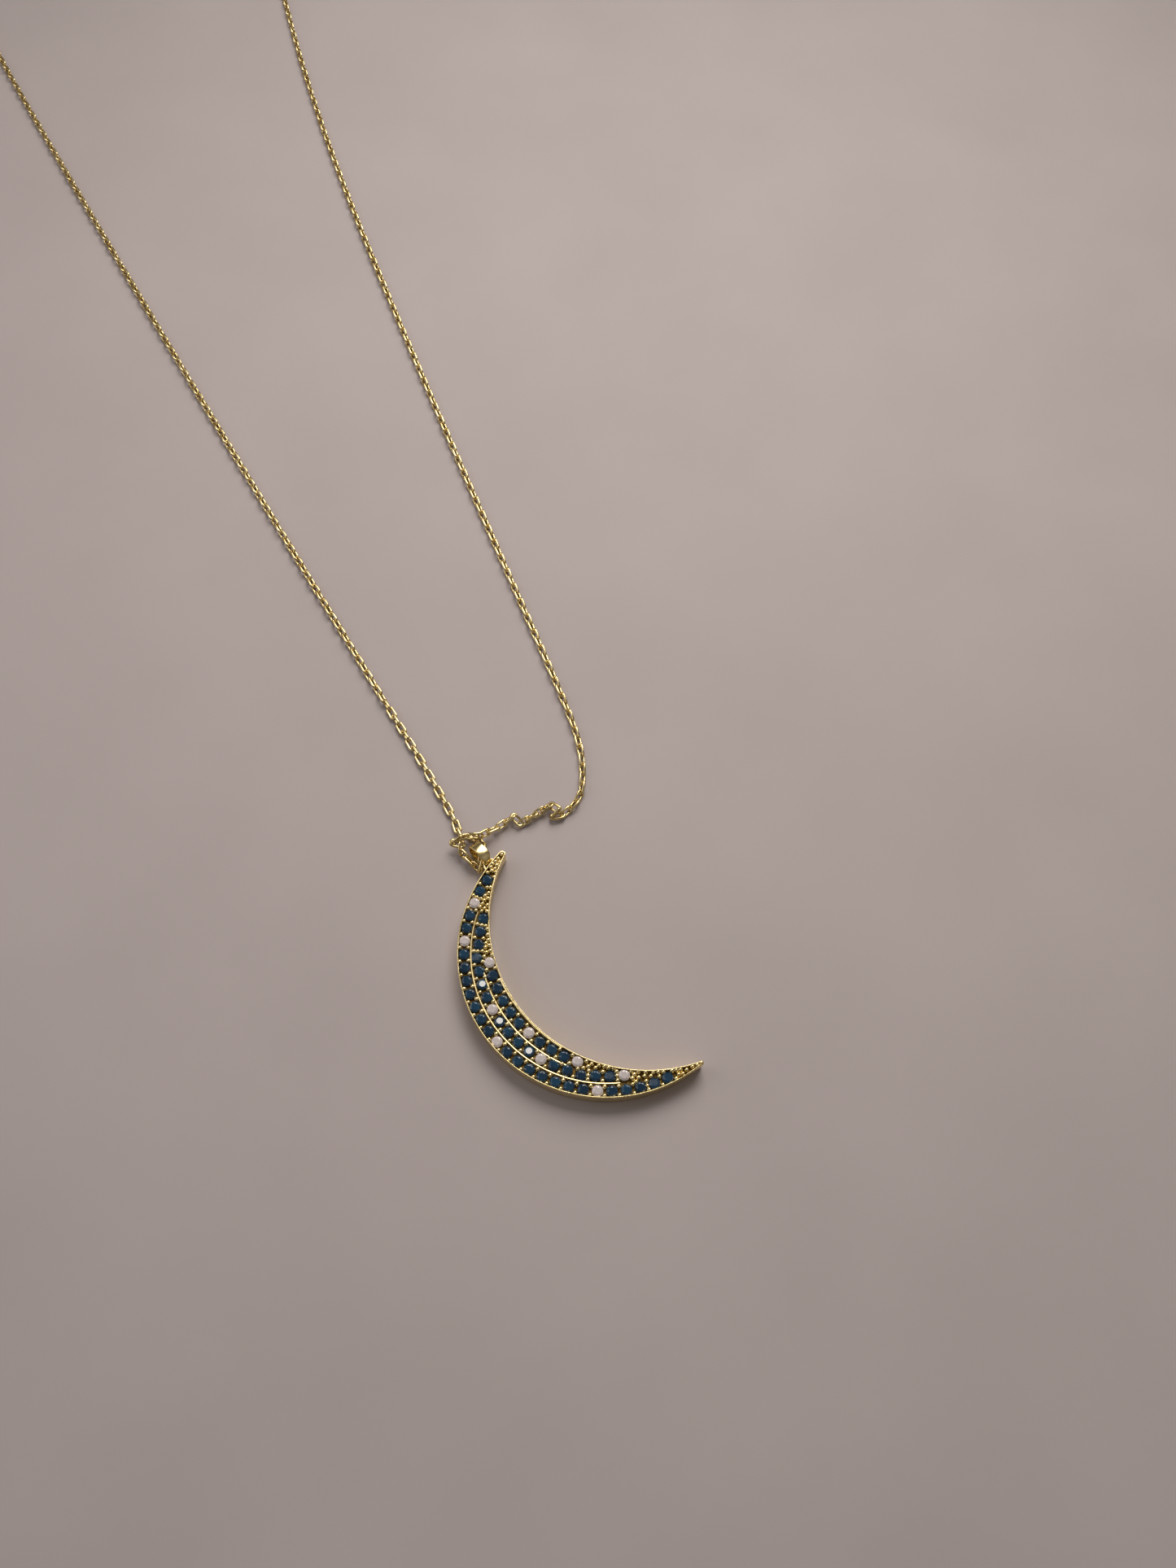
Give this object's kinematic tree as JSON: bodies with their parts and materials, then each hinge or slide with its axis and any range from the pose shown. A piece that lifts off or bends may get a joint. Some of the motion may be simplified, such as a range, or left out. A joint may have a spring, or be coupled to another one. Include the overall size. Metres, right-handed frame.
{
  "type": "crescent moon pendant necklace",
  "caption": "Gold crescent moon pendant paved with dark blue and clear stones, hanging by a half ring and an oval bail on a fine cable chain that lies as a closed loop.",
  "frame": {"origin": "middle of the whole loop, on the surface that the necklace lies on", "axes": "+Z out of the pendant's face, +Y from the pendant towards the clasp, +X to the crescent's open side"},
  "size_m": [0.0513, 0.2318, 0.0024],
  "materials": {
    "cast_gold": "cast, gold plated and polished",
    "drawn_gold": "drawn wire, gold plated and polished",
    "blue_stone": "cut and polished, dark petrol blue",
    "clear_stone": "cut and polished, colourless"
  },
  "bodies": {
    "root": {"crescent": "cast_gold", "blue_stones": "blue_stone", "clear_stones": "clear_stone", "bail": "drawn_gold", "chain": "drawn_gold", "clasp": "drawn_gold"}
  },
  "joints": []
}
